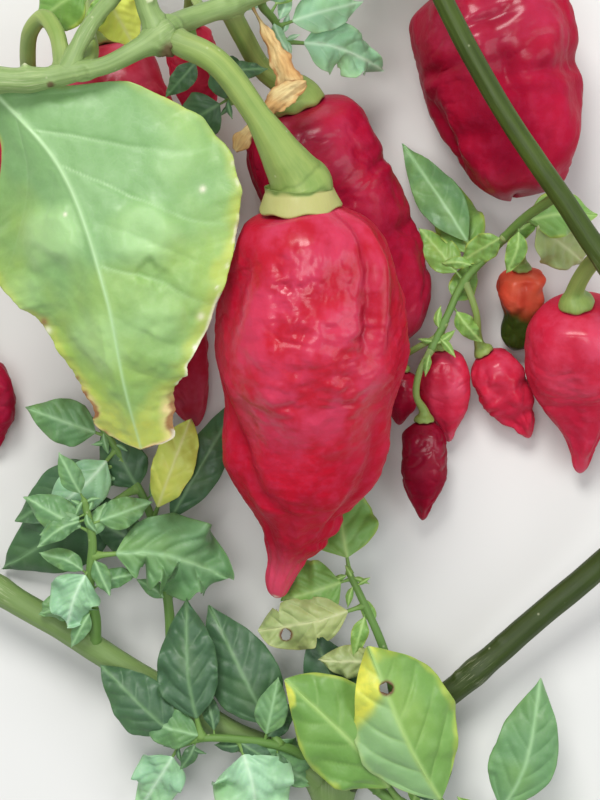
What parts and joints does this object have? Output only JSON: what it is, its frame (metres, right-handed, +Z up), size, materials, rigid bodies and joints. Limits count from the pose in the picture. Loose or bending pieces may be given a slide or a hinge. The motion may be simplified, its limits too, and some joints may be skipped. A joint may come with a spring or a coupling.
{
  "type": "cut fruiting branch of a chilli pepper plant",
  "caption": "Cut fruiting branch of a chilli pepper plant, laid flat: a forked green stem whose arms carry wrinkled red pods on stalks, a large leaf and leafy shoots.",
  "frame": {"origin": "on the ground the branch lies on, under the middle of its box", "axes": "+Y from the cut end of the stem to the shoot tips, +Z up from the ground, +X to the right"},
  "size_m": [0.1426, 0.186, 0.0549],
  "materials": {
    "bark": "green stem skin, satin, finely ribbed",
    "stalk": "olive green stalk skin, satin",
    "ripe": "crimson wrinkled pod skin, semi-gloss",
    "unripe": "orange-red pod skin turning dark green at its tip, semi-gloss",
    "leaf": "matte green leaf",
    "leaf_large": "matte green leaf with yellow margins",
    "dry": "dry papery tan leaf"
  },
  "bodies": {
    "root": {"main_stem": "bark", "left_arm_low": "bark", "left_arm_high": "bark", "left_bough": "bark", "stem_up": "bark", "stem_right": "bark", "side_stem": "bark", "right_arm_low": "bark", "right_arm_high": "bark", "right_bough": "bark", "stalk_front": "stalk", "pod_front": "ripe", "stalk_behind": "stalk", "pod_behind": "ripe", "stalk_left": "stalk", "pod_left": "ripe", "stalk_top_right": "stalk", "pod_top_right": "ripe", "stalk_right": "stalk", "pod_right": "ripe", "stalk_back": "stalk", "pod_back": "ripe", "stalk_under_leaf": "stalk", "pod_under_leaf": "ripe", "stalk_far_left": "stalk", "pod_far_left": "ripe", "stalk_near_front": "stalk", "pod_near_front": "ripe", "stalk_low": "stalk", "pod_low": "ripe", "stalk_slanting": "stalk", "pod_slanting": "ripe", "stalk_lowest": "stalk", "pod_lowest": "ripe", "stalk_unripe": "stalk", "pod_unripe": "unripe", "shoot_low_left": "leaf", "shoot_mid_left": "leaf", "foliage_low_left": "leaf", "foliage_low_right": "leaf", "shoot_centre": "leaf", "shoot_right": "leaf", "shoot_back": "leaf", "shoot_under": "leaf", "shoot_side": "leaf", "tip_up": "leaf", "tip_left": "leaf", "tip_middle": "leaf", "tip_right": "leaf", "leaf_large": "leaf_large", "dry_leaf": "dry"}
  },
  "joints": []
}
